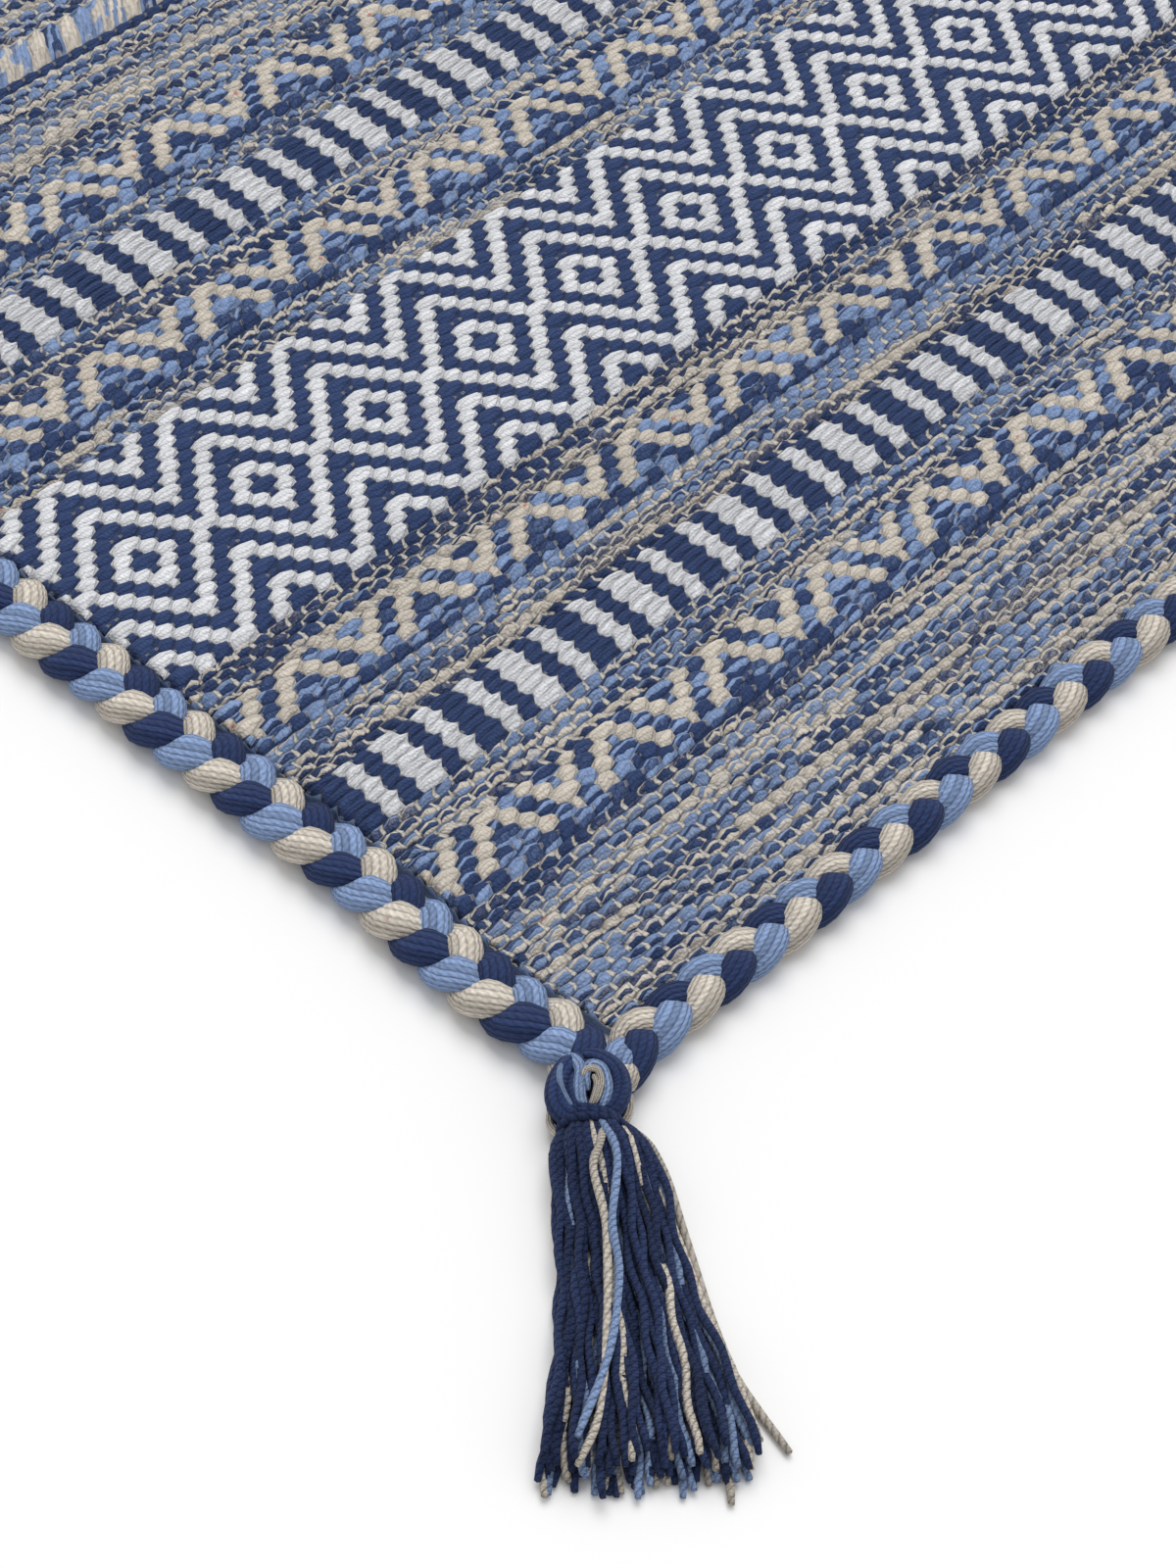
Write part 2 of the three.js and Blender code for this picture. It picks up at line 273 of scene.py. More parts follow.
# Along a row of the ground, mean and spread of its plies' drift from bead to bead, and the chance
# at each bead that its mix changes
DRIFT = (0.004, 0.07)
CHANGES = 0.16
for r, (kind, k, _, _) in enumerate(rows):
    if kind == "ground":
        first, second = GROUND_MIXES[int(chance.integers(len(GROUND_MIXES)))]
        shed = r % 2
        beads = WARPS + 2
        luck = (chance.uniform(0, 1) + np.cumsum(chance.normal(*DRIFT, beads))) % 1
        run = np.cumsum(chance.uniform(0, 1, beads) < CHANGES)
        on_left = (warp - 1 + shed) % 2 == 0
        owner = np.where(on_left, warp - 1, warp) + 1
        full[r] = (warp_gap - 1 + shed) % 2 == 0
        s_left[r] = np.where(on_left, 0.0, -1.0)
        s_right[r] = np.where(on_left, 1.0, 0.0)
        length[r] = 2.0
        yarn_a[r], yarn_b[r] = YARNS[first], YARNS[second]
        seed[r] = luck[owner]
        lot[r] = chance.uniform(0, 1, beads)[run[owner]]
        continue
    starts, colours = chart(kind, k)
    number = np.cumsum(starts) - 1
    opens = np.flatnonzero(starts)
    opened, closed = opens[number], np.append(opens[1:], WARPS)[number]
    span = (closed - opened).astype(float)
    middle = (opened + closed) / 2
    s_left[r] = (warp - middle) / (span / 2)
    s_right[r] = (warp + 1 - middle) / (span / 2)
    length[r] = span
    yarn_a[r], yarn_b[r] = YARNS[colours[:, 0]], YARNS[colours[:, 1]]
    seed[r] = chance.uniform(0, 1, len(opens))[number]
    lot[r] = seed[r]
    full[r] = 1.0
    full[r, opens] = 0.0
    full[r, -1] = 0.0

# Places of the cloth's points: a line at each boundary between rows and at each row's middle, with
# a point at every gap between warps. Shares of the way from a kind's valley to its top: where a
# row dives under a warp, and on the boundary between two rows.
DIVE = {"ground": 0.25, "soumak": 0.2}
BAND_DIVE = 0.45
BOUNDARY_RISE = 0.22
# How far a bar's stitches are staggered and a soumak row slides, in warps, and how far a boundary
# gives way to the fuller of its two rows, in picks
BAR_STAGGER = 0.34
SOUMAK_SLIDE = 0.9
GROUND_LEAN, BAND_LEAN = 0.06, 0.14
lines = 2 * ROWS + 1
flat_x = np.tile(warp_gap * WARP, (lines, 1)).astype(float)
flat_y = np.zeros((lines, WARPS + 1))
rise = np.zeros((lines, WARPS + 1))
half_warp = np.full(WARPS + 1, -0.5 * WARP)
half_warp[0] = half_warp[-1] = 0.0
low, top = np.array([LEVELS[kind] for kind, _, _, _ in rows]).T
for r, (kind, k, near, far) in enumerate(rows):
    flat_y[2 * r + 1] = (near + far) / 2 * PICK
    dive = DIVE.get(kind, BAND_DIVE)
    rise[2 * r + 1] = low[r] + (top[r] - low[r]) * (dive + (1 - dive) * full[r])
    if kind == "ground":
        flat_x[2 * r + 1] += half_warp
    if kind == "bars":
        stagger = BAR_STAGGER if k % 2 else -BAR_STAGGER
        flat_x[2 * r + 1] += stagger * WARP * (full[r] == 0)
    if kind == "soumak":
        flat_x[2 * r] += WARP * SOUMAK_SLIDE * k
        flat_x[2 * r + 1] += WARP * SOUMAK_SLIDE * (k + 0.5)
flat_y[0], flat_y[-1] = rows[0][2] * PICK, rows[-1][3] * PICK
rise[0], rise[-1] = low[0], low[-1]
for above in range(1, ROWS):
    below, line = above - 1, 2 * above
    boundary = rows[above][2] * PICK
    if is_ground[below] and is_ground[above]:
        swell_below, swell_above, lean = full[below], full[above], GROUND_LEAN
        flat_x[line] += half_warp
    else:
        swell_below = 0.5 if is_ground[below] else full[below]
        swell_above = 0.5 if is_ground[above] else full[above]
        lean = BAND_LEAN
    if rows[below][0] == rows[above][0] == "soumak":
        dive = DIVE["soumak"]
        flat_y[line] = boundary
        rise[line] = low[above] + (top[above] - low[above]) * (dive + (1 - dive) * full[above])
        continue
    valley = min(low[below], low[above])
    flat_y[line] = boundary + lean * PICK * (swell_below - swell_above)
    rise[line] = valley + BOUNDARY_RISE * (top[below] + top[above] - 2 * valley) / 2 * (
        np.maximum(swell_below, swell_above))

# The hand of the weaver: rows swing a little, and no two stitches are quite alike
ANY_PHASE = (0, 6.28)
on_ground = np.repeat(is_ground, 2)[:, None]
on_ground = np.vstack([on_ground, on_ground[-1:]])


def uneven(on_beads, on_bands):
    """One amount for the plain ground's lines and another for the bands', in mm."""
    return np.where(on_ground, on_beads, on_bands)


swing = chance.uniform(*ANY_PHASE, 4)
flat_y += 0.5 * np.sin(flat_x / 41 + swing[0]) * np.sin(flat_y / 97 + swing[1])
flat_x += 0.6 * np.sin(flat_y / 63 + swing[2]) * np.sin(flat_x / 83 + swing[3])
ripple = np.sin(flat_x / 23 + chance.uniform(*ANY_PHASE, (lines, 1)))
flat_y[1:-1] += (uneven(0.34, 0.14) * ripple)[1:-1]
flat_x[:, 1:-1] += chance.normal(0, 1, (lines, WARPS - 1)) * uneven(0.24, 0.13)
flat_y[1:-1] += chance.normal(0, 1, (lines - 2, WARPS + 1)) * uneven(0.2, 0.11)[1:-1]
rise += chance.normal(0, 1, rise.shape) * uneven(0.2, 0.1)
cloth_x, cloth_y = wandered(flat_x - CLOTH_WIDTH / 2, flat_y - CLOTH_LENGTH / 2)


class Reading:
    """A number that a material reads or works out at every point of a yarn."""

    def __init__(self, tree, socket):
        self.tree = tree
        self.socket = socket

    def step(self, operation, *values):
        """One step of arithmetic in the material."""
        node = self.tree.nodes.new("ShaderNodeMath")
        node.operation = operation
        for socket, value in zip(node.inputs, values):
            plug(socket, value)
        return Reading(self.tree, node.outputs[0])

    def __add__(self, other):
        return self.step("ADD", self, other)

    def __sub__(self, other):
        return self.step("SUBTRACT", self, other)

    def __rsub__(self, other):
        return self.step("SUBTRACT", other, self)

    def __mul__(self, other):
        return self.step("MULTIPLY", self, other)

    def __truediv__(self, other):
        return self.step("DIVIDE", self, other)

    def __pow__(self, other):
        return self.step("POWER", self, other)

    def __abs__(self):
        return self.step("ABSOLUTE", self)

    def scaled(self, by, plus):
        """This times one number, plus another, in a single step."""
        return self.step("MULTIPLY_ADD", self, by, plus)

    def above(self, limit):
        """1 where this is more than the limit, and 0 elsewhere."""
        return self.step("GREATER_THAN", self, limit)

    def whole(self):
        return self.step("FLOOR", self)

    def part(self):
        return self.step("FRACT", self)

    def sine(self):
        return self.step("SINE", self)

    def held(self):
        """The same number, kept between 0 and 1."""
        self.socket.node.use_clamp = True
        return self


def attribute(tree, name):
    """What a piece's points or corners say under this name."""
    reader = tree.nodes.new("ShaderNodeAttribute")
    reader.attribute_name = name
    return reader


def laid_out(tree, name):
    """A point's place on the piece's own map, in its two directions."""
    uv = tree.nodes.new("ShaderNodeUVMap")
    uv.uv_map = name
    split = tree.nodes.new("ShaderNodeSeparateXYZ")
    plug(split.inputs[0], uv.outputs[0])
    return Reading(tree, split.outputs[0]), Reading(tree, split.outputs[1])


def drawn_lot(tree, number):
    """A number from 0 to 1, drawn by chance for each different number."""
    dice = tree.nodes.new("ShaderNodeTexWhiteNoise")
    dice.noise_dimensions = "1D"
    plug(dice.inputs["W"], number)
    return Reading(tree, dice.outputs[0])


def stain(tree, scale, detail=2.0):
    """Cloudy noise in the piece's own place, from 0 to 1. scale is in clouds per metre."""
    place = tree.nodes.new("ShaderNodeTexCoord")
    cloud = tree.nodes.new("ShaderNodeTexNoise")
    set_node(cloud, Vector=place.outputs["Object"], Scale=scale, Detail=detail, Roughness=0.5)
    return Reading(tree, cloud.outputs[0])


def streak(tree, along, across, which):
    """Fibres drawn out along a yarn, from 0 to 1. along and across are in yarn widths."""
    place = tree.nodes.new("ShaderNodeCombineXYZ")
    for socket, value in zip(place.inputs, (along, across, which)):
        plug(socket, value)
    cloud = tree.nodes.new("ShaderNodeTexNoise")
    set_node(cloud, Vector=place.outputs[0], Scale=1.0, Detail=3.0, Roughness=0.6)
    return Reading(tree, cloud.outputs[0])


def soft_step(tree, value, first, last):
    """0 below the first number, 1 above the last, with a smooth change between."""
    step = tree.nodes.new("ShaderNodeMapRange")
    step.interpolation_type = "SMOOTHSTEP"
    set_node(step, Value=value, From_Min=first, From_Max=last)
    return Reading(tree, step.outputs[0])


def blend_colours(tree, share, first, second, mode="MIX"):
    """Lays the second colour over the first by a share."""
    mixer = tree.nodes.new("ShaderNodeMix")
    mixer.data_type = "RGBA"
    mixer.blend_type = mode
    for number, value in ((0, share), (6, first), (7, second)):
        plug(mixer.inputs[number], (*value, 1.0) if isinstance(value, tuple) else value)
    return mixer.outputs[2]


def shaded(tree, colour, shade):
    """A colour made lighter or darker by a number."""
    grey = tree.nodes.new("ShaderNodeCombineColor")
    for socket in grey.inputs:
        plug(socket, shade)
    return blend_colours(tree, 1.0, colour, grey.outputs[0], "MULTIPLY")


def flecked(tree, colour):
    """A few stray red fibres in the natural yarns, which are more red than blue."""
    split = tree.nodes.new("ShaderNodeSeparateColor")
    plug(split.inputs[0], colour)
    warmth = Reading(tree, split.outputs[0]) - Reading(tree, split.outputs[2])
    fleck = soft_step(tree, stain(tree, 260.0, 1.0), 0.74, 0.77) * 0.8
    return blend_colours(tree, fleck * warmth.above(0.03), colour, (0.95, 0.42, 0.36), "MULTIPLY")


def matt_cotton(tree, shader, colour, height, relief):
    """Wires a colour and a height to a matt, faintly furry shader. relief is in metres."""
    bump = tree.nodes.new("ShaderNodeBump")
    set_node(bump, Strength=1.0, Distance=relief, Height=height)
    set_node(shader, Base_Color=colour, Normal=bump.outputs[0], Specular_IOR_Level=0.06,
             Sheen_Weight=0.06, Sheen_Roughness=0.5)


# The cloth's points tell the material how many warps a stitch crosses, and by the fraction whether
# it is a bead of the plain ground, in one number, divided by this so that it stays below 1
CODE = 8.0
NATURAL_WARP = (0.78, 0.74, 0.67)
NATURAL_PLY = (0.66, 0.60, 0.52)
# Colour of the painted shadow in the deepest gaps between the ground's beads
GAP_SHADOW = (0.05, 0.056, 0.09)


def woven_finish():
    """Matt cotton: each stitch a plump bundle of plies, with painted shade in the gaps and thin
    warps between.
    """
    finish, tree, shader = new_finish("woven_cotton", (0.36, 0.42, 0.56), 0.95)
    # Place on the stitch from -1 to 1: s from end to end, and t from side to side
    from_start, from_side = laid_out(tree, "stitch")
    s, t = from_start.scaled(2.0, -1.0), from_side.scaled(2.0, -1.0)
    main, second = attribute(tree, "yarn"), attribute(tree, "ply")
    luck = Reading(tree, main.outputs["Alpha"])
    whose = Reading(tree, attribute(tree, "lot").outputs["Fac"])
    code = Reading(tree, second.outputs["Alpha"]) * CODE
    warps, bead = code.whole(), code.part().above(0.4)
    reach = s * warps

    def either(on_bands, on_beads):
        """One number for the bands' tight stitches and another for the ground's loose beads."""
        return bead.scaled(on_beads - on_bands, on_bands)

    # Body of the stitch: round across, drawn in at both ends, and leaning a little
    unrest = stain(tree, 330.0).scaled(0.5, -0.25)
    leaning = t + s * either(-0.44, -0.20) + unrest
    long = abs(s) * either(1.0, 1.18)
    ends = (1.0 - long ** (warps * either(4.0, 2.1))).held()
    taper = s * s * either(0.4, 0.26)
    swell = abs(leaning) / (1.04 - taper)
    body = (ends * (1.0 - swell ** either(5.0, 4.4))).held()
    dome = ((1.0 - long ** either(3.2, 2.2)) * (1.0 - leaning * leaning)).held()

    # Plies side by side, slanting a little, each in one of the stitch's yarns
    turn = leaning * 1.85 + reach * either(0.3, 0.08) + luck * 5.0
    strand = turn.part().scaled(2.0, -1.0)
    ridge = 1.0 - strand * strand
    ply_lot = drawn_lot(tree, whose.scaled(91.0, turn.whole()))
    other = ply_lot.above(either(0.6, 0.46))
    colour = blend_colours(tree, other, main.outputs["Color"], second.outputs["Color"])
    natural = (ply_lot * 7.3).part().above(0.79)
    colour = blend_colours(tree, natural * bead, colour, NATURAL_PLY)

    # Spun fibre: heathered tone, with painted shade along the twist lines and in the grooves
    # between plies
    fibre = streak(tree, reach.scaled(1.4, turn), turn * 5.0, whose * 37.0)
    twist = reach.scaled(8.0, strand * 2.2).sine()
    shade = fibre.scaled(0.55, stain(tree, 1000.0).scaled(0.4, 0.58))
    shade = shade * ply_lot.scaled(0.22, 0.9) * ridge.scaled(0.22, 0.85) * twist.scaled(0.07, 1.0)

    # Painted shade: darker where a stitch dives under a warp or beside its neighbour, and a painted
    # shadow colour in the ground's deepest gaps
    lit = soft_step(tree, body, 0.0, 0.4)
    gap_shade = either(0.72, 0.66)
    colour = shaded(tree, colour, shade * (gap_shade + lit * (1.0 - gap_shade)))
    gap_shadow = (1.0 - soft_step(tree, body, 0.0, 0.16)) * bead
    colour = blend_colours(tree, gap_shadow * 0.42, colour, GAP_SHADOW)
    colour = flecked(tree, colour)

    # A thin natural two-ply warp crosses the end of each bead of the plain ground, with painted
    # shade at its rounded sides and along its twist
    from_warp = (1.0 - abs(s)) * warps * either(2.6, 2.3)
    round_warp = (1.0 - from_warp * from_warp).held()
    kept = 1.0 - soft_step(tree, abs(t) + either(0.5, 0.0), 0.82, 1.0)
    kept = kept * either(0.38, 1.0) * soft_step(tree, stain(tree, 420.0, 1.0), 0.3, 0.46)
    warp_shows = soft_step(tree, round_warp, 0.0, 0.5) * kept
    spin = t.scaled(9.0, s * 14.0).sine()
    warp_shade = round_warp.scaled(0.3, 0.7) * spin.scaled(0.14, 0.9)
    warp_colour = shaded(tree, NATURAL_WARP, warp_shade)
    colour = blend_colours(tree, warp_shows, colour, warp_colour)

    height = (ridge * lit).scaled(0.2, body.scaled(0.25, dome * 1.25))
    height = fibre.scaled(0.3, twist.scaled(0.05, height))
    height = stain(tree, 1500.0).scaled(0.16, height)
    height = (warp_shows * round_warp).scaled(0.6, height)
    matt_cotton(tree, shader, colour, height * either(1.0, 1.4), relief=0.0009)
    return finish


# Level of the cloth's flat underside above the floor, in metres
UNDERSIDE = 0.0004


def cloth_length(name, first, last, finish):
    """The cloth from one row of weft to another: woven above, and closed flat below."""
    tall = 2 * (last - first)
    bm = bmesh.new()
    bmesh.ops.create_grid(bm, x_segments=WARPS, y_segments=tall, size=1.0)
    rim = [e for e in bm.edges if e.is_boundary]
    drop = bmesh.ops.extrude_edge_only(bm, edges=rim)
    skirt = [g for g in drop["geom"] if isinstance(g, bmesh.types.BMVert)]
    bmesh.ops.translate(bm, verts=skirt, vec=(0.0, 0.0, -1.0))
    under = [g for g in drop["geom"] if isinstance(g, bmesh.types.BMEdge)]
    bmesh.ops.contextual_create(bm, geom=under)
    bmesh.ops.recalc_face_normals(bm, faces=bm.faces)
    piece = put_in_scene(name, bm, finish)
    shape = piece.data
    spot = np.zeros(len(shape.vertices) * 3)
    shape.vertices.foreach_get("co", spot)
    spot = spot.reshape(-1, 3)
    i = np.rint((spot[:, 0] + 1) / 2 * WARPS).astype(int)
    line = 2 * first + np.rint((spot[:, 1] + 1) / 2 * tall).astype(int)
    above = spot[:, 2] > -0.5
    spot[:, 0] = cloth_x[line, i] * MM
    spot[:, 1] = cloth_y[line, i] * MM
    spot[:, 2] = np.where(above, rise[line, i] * MM, UNDERSIDE)
    shape.vertices.foreach_set("co", spot.ravel())
    mark_stitches(shape, i, line, above)
    shape.update()
    return piece


def mark_stitches(shape, i, line, above):
    """Writes what each face's corners know: place on the stitch, its yarns, and how it is bound.
    i, line and above say which warp gap and which line each point is on, and whether it shows."""
    corner = np.zeros(len(shape.loops), int)
    shape.loops.foreach_get("vertex_index", corner)
    starts = np.zeros(len(shape.polygons), int)
    totals = np.zeros(len(shape.polygons), int)
    shape.polygons.foreach_get("loop_start", starts)
    shape.polygons.foreach_get("loop_total", totals)
    loops = starts[np.flatnonzero(totals == 4)][:, None] + np.arange(4)
    woven = above[corner[loops]].all(1)
    loops = loops[woven]
    points = corner[loops]
    ci, cj = i[points], line[points]
    row = np.broadcast_to(cj.min(1)[:, None] // 2, ci.shape)
    col = np.broadcast_to(ci.min(1)[:, None], ci.shape)
    from_boundary = cj - 2 * row
    s = np.where(ci > col, s_right[row, col], s_left[row, col])
    t = from_boundary - 1.0
    # A soumak stitch runs over its band's three rows, so its length is across them
    tilted = np.array([kind == "soumak" for kind, _, _, _ in rows])[row]
    number = np.array([k for _, k, _, _ in rows])[row]
    rung = (number * 2 + from_boundary) / 3.0 - 1.0
    s, t = np.where(tilted, rung, s), np.where(tilted, s, t)
    place = np.full((len(shape.loops), 2), 0.5)
    place[loops.ravel()] = np.stack([(s.ravel() + 1) / 2, (t.ravel() + 1) / 2], 1)
    stitch = shape.uv_layers.new(name="stitch")
    stitch.uv.foreach_set("vector", place.ravel().astype(np.float32))
    code = (length + 0.5 * is_ground[:, None] + 0.2) / CODE
    for label, colours, alpha in (("yarn", yarn_a, seed), ("ply", yarn_b, code)):
        values = np.tile(np.array([*BLUE, 0.3]), (len(shape.loops), 1))
        values[loops.ravel(), :3] = colours[row, col].reshape(-1, 3)
        values[loops.ravel(), 3] = alpha[row, col].ravel()
        layer = shape.color_attributes.new(label, "FLOAT_COLOR", "CORNER")
        layer.data.foreach_set("color", values.ravel().astype(np.float32))
    lots = np.zeros(len(shape.loops))
    lots[loops.ravel()] = lot[row, col].ravel()
    layer = shape.attributes.new("lot", "FLOAT", "CORNER")
    layer.data.foreach_set("value", lots.astype(np.float32))


woven_cotton = woven_finish()
cuts = [0, round(ROWS / 3), round(ROWS * 2 / 3), ROWS]
for name, first, last in zip(("cloth_near", "cloth_middle", "cloth_far"), cuts, cuts[1:]):
    piece = cloth_length(name, first, last, woven_cotton)
    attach(piece, "root")
    tall = (rows[last - 1][3] - rows[first][2]) * PICK * 0.001
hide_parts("cloth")


# Plaited edgings: three bundles of yarns each, one navy, one light blue and one natural, plaited
# flat and sewn along all four edges of the cloth. Seventeen yarns show as ridges round a bundle.
BUNDLES = np.array([(0.027, 0.044, 0.118), BLUE, BEIGE])
BUNDLE_YARNS = 17
# No strand comes nearer to the floor than this, in mm
LOWEST = 0.15


def unit(vectors):
    """The same directions with a length of 1."""
    return vectors / np.linalg.norm(vectors, axis=1)[:, None]


def eased(share):
    """A share from 0 to 1, with a smooth start and end."""
    return share * share * (3 - 2 * share)


def upwards(which, along, centre):
    """Straight up, for strands that lie flat."""
    return np.tile((0.0, 0.0, 1.0), (len(which), 1))


def around_path(path, level, which, along, round_it, wide, thick, square=1.0):
    """Points of a strand's skin in mm: path gives its centre, level the way its flat side faces.
    square below 1 fills out the section's corners."""
    tiny = 1e-4
    centre = path(which, along)
    ahead = unit(path(which, along + tiny) - path(which, along - tiny))
    side = unit(np.cross(ahead, level(which, along, centre)))
    face = np.cross(side, ahead)
    flat, high = np.cos(2 * np.pi * round_it), np.sin(2 * np.pi * round_it)
    flat, high = np.sign(flat) * np.abs(flat) ** square, np.sign(high) * np.abs(high) ** square
    return centre + side * (wide * flat)[:, None] + face * (thick * high)[:, None]


def spun_strands(name, count, round_steps, long_steps, skin, colours, finish):
    """Closed strands in one piece. Each starts as a flat grid, at its own height, and is rolled up
    by skin(which, along, round_it), which gives points in mm."""
    bm = bmesh.new()
    bm.loops.layers.uv.new("lay")
    for which in range(count):
        bmesh.ops.create_grid(bm, x_segments=round_steps, y_segments=long_steps, size=0.5,
                              matrix=Matrix.Translation((0.5, 0.5, which)), calc_uvs=True)
    flat = bpy.data.meshes.new(name)
    bm.to_mesh(flat)
    spot = np.zeros(len(flat.vertices) * 3)
    flat.vertices.foreach_get("co", spot)
    spot = spot.reshape(-1, 3)
    which = np.rint(spot[:, 2]).astype(int)
    points = skin(which, spot[:, 1], spot[:, 0])
    points[:, 2] = np.maximum(points[:, 2], LOWEST)
    flat.vertices.foreach_set("co", (points * MM).ravel())
    corner = np.zeros(len(flat.loops), int)
    flat.loops.foreach_get("vertex_index", corner)
    # Each corner has its strand's colour, and a number that differs from strand to strand
    golden = 0.618
    shades = np.ones((len(corner), 4))
    shades[:, :3] = BUNDLES[np.asarray(colours)[which[corner]]]
    shades[:, 3] = (which[corner] * golden) % 1
    layer = flat.color_attributes.new("yarn", "FLOAT_COLOR", "CORNER")
    layer.data.foreach_set("color", shades.ravel().astype(np.float32))
    bm.clear()
    bm.from_mesh(flat)
    bpy.data.meshes.remove(flat)
    bmesh.ops.remove_doubles(bm, verts=bm.verts, dist=1e-7)
    bmesh.ops.holes_fill(bm, edges=[e for e in bm.edges if e.is_boundary], sides=0)
    bmesh.ops.recalc_face_normals(bm, faces=bm.faces)
    return put_in_scene(name, bm, finish)


def spun_finish(name, yarns, length, twist, helix=0.0):
    """Matt cotton strands. yarns is how many lie side by side round one, twist the pitch of their
    fibres in mm, and helix how many of them pass by in each mm of a strand that is itself
    twisted. A bundle of yarns that lie straight has no helix."""
    finish, tree, shader = new_finish(name, (0.3, 0.36, 0.5), 0.92)
    bundle = helix == 0.0
    wander, slanting = (0.55, 2.6) if bundle else (0.9, -1.2)
    # Twisted yarns are painted about a fifth darker overall than straight bundles of the same
    # yarns, as painted shade in the tassels
    varied, groove_darkness, mean_shade = (0.42, 0.3, 1.02) if bundle else (0.5, 0.34, 0.8)
    plied = 0.25
    around, from_end = laid_out(tree, "lay")
    main = attribute(tree, "yarn")
    whose = Reading(tree, main.outputs["Alpha"])

    # Yarns side by side round the strand, each with its own twist and shade
    long = from_end * length
    wobble = stain(tree, 90.0).scaled(wander, -wander / 2.0)
    turn = around.scaled(float(yarns), long.scaled(helix, wobble))
    strand = turn.part().scaled(2.0, -1.0)
    ridge = 1.0 - strand * strand
    yarn_lot = drawn_lot(tree, whose.scaled(91.0, turn.whole() if bundle else 0.0))
    slant = yarn_lot.scaled(40.0, strand * slanting)
    ply = long.scaled(6.283 / twist, slant).sine().scaled(0.5, 0.5)
    fibre = streak(tree, long * 0.5, turn * 4.0, whose * 37.0)

    # Lighter and darker by fibre and yarn, with painted shade in the grooves between yarns and
    # along the twist of their plies
    groove_shade = soft_step(tree, ridge, 0.0, 0.7)
    shade = fibre.scaled(0.6, stain(tree, 1100.0).scaled(0.6, 0.4))
    shade = shade * yarn_lot.scaled(varied, mean_shade - varied / 2.0)
    shade = shade * groove_shade.scaled(groove_darkness, 1.0 - groove_darkness) * ply.scaled(plied, 1.05 - plied * 0.7)
    colour = flecked(tree, shaded(tree, main.outputs["Color"], shade))
    height = ply.scaled(plied, fibre.scaled(0.6, ridge * 0.8))
    height = stain(tree, 1600.0).scaled(0.45, height)
    matt_cotton(tree, shader, colour, height, relief=0.0006)
    return finish


def plait_skin(total, reach, half_wide, half_thick, turn_length, lobe_at, to_plan):
    """Skin of a plait along one edge, in mm. reach is how far a bundle swings from the plait's
    middle, lobe_at how far from the edge's middle a lobe lies, and to_plan turns a place across
    and along the plait into the plan."""
    # Share of a turn at which a bundle lies on top and outwards, as a lobe, and the length at each
    # end in which the bundles draw together
    lobe, settling = 0.625, 17
    turns = total / turn_length
    first = (lobe_at / turn_length + lobe) % 1

    def turned(which, along):
        return 2 * np.pi * (turns * (along - 0.5) + first + which / 3)

    def path(which, along):
        """Bundles swing from side to side and over each other, and draw together at both ends."""
        y = (along - 0.5) * total
        turn = turned(which, along)
        settle = eased(np.clip((total / 2 - np.abs(y)) / settling, 0, 1))
        inwards = (half_wide + reach) * 0.8 * (1 - settle)
        across = reach * np.sin(turn) * (0.45 + 0.55 * settle) - inwards
        plan_x, plan_y = wandered(*to_plan(across, y))
        up = half_thick + 2.1 + 1.9 * np.sin(2 * turn) * (0.5 + 0.5 * settle) + 1.4 * (1 - settle)
        up -= 0.45 * (1 + np.sin(turn)) * settle
        return np.stack([plan_x, plan_y, up], 1)

    def skin(which, along, round_it):
        """Lobes are plumper on top and on the outer side, and no two are quite alike."""
        turn = turned(which, along)
        y = (along - 0.5) * total
        plump = 1 + 0.1 * np.sin(2 * turn) + 0.05 * np.sin(y / 23 + 2 * which) - 0.1 * (
            1 + np.sin(turn))
        tail = np.clip((total / 2 - np.abs(y)) / 4 + 0.35, 0.35, 1)
        return around_path(path, upwards, which, along, round_it,
                           half_wide * plump * tail, half_thick * plump * tail, 0.76)
    return skin


# Lengths in mm of one turn of the plait, of the whole plait, and from the rug's rim to its middle
SIDE_TURN, END_TURN = 32.6, 35.8
side_total, end_total = RUG_LENGTH - 10.0, RUG_WIDTH - 10.0
SIDE_MIDDLE, END_MIDDLE = 10.5, 8.7
STEPS_ROUND, STEPS_A_TURN = 12, 16
# A bundle is longer than its plait by this much, because of its swings
TAKE_UP = 1.25
long_plait = spun_finish("plaited_cotton_long", BUNDLE_YARNS, RUG_LENGTH * TAKE_UP, twist=1.7)
short_plait = spun_finish("plaited_cotton_short", BUNDLE_YARNS, RUG_WIDTH * TAKE_UP, twist=1.7)
for name, node, sign in (("edging_left", "plait_left", 1), ("edging_right", "plait_right", -1)):
    skin = plait_skin(
        side_total, reach=5.5, half_wide=5.0, half_thick=2.85, turn_length=SIDE_TURN, lobe_at=868.8,
        to_plan=lambda across, y: (sign * (across - RUG_WIDTH / 2 + SIDE_MIDDLE), sign * y))
    piece = spun_strands(name, 3, STEPS_ROUND, round(side_total / SIDE_TURN * STEPS_A_TURN), skin,
                         (B, E, N), long_plait)
    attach(piece, "root")
    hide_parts(node)
for name, node, sign in (("edging_near", "plait_near", 1), ("edging_far", "plait_far", -1)):
    skin = plait_skin(
        end_total, reach=3.8, half_wide=4.2, half_thick=2.65, turn_length=END_TURN, lobe_at=-280.8,
        to_plan=lambda across, y: (sign * -y, sign * (across - RUG_LENGTH / 2 + END_MIDDLE)))
    piece = spun_strands(name, 3, STEPS_ROUND, round(end_total / END_TURN * STEPS_A_TURN), skin,
                         (B, E, N), short_plait)
    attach(piece, "root")
    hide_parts(node)

# Corner tassels: the bundles of both plaits are tied in one knot at each corner, bound with three
# turns of navy yarn, and their two-ply yarns fall from it in a loose fan and are cut off.
KNOT_PLACE = (-0.6, 4.9)
TASSEL_ANGLE = math.radians(47.5)


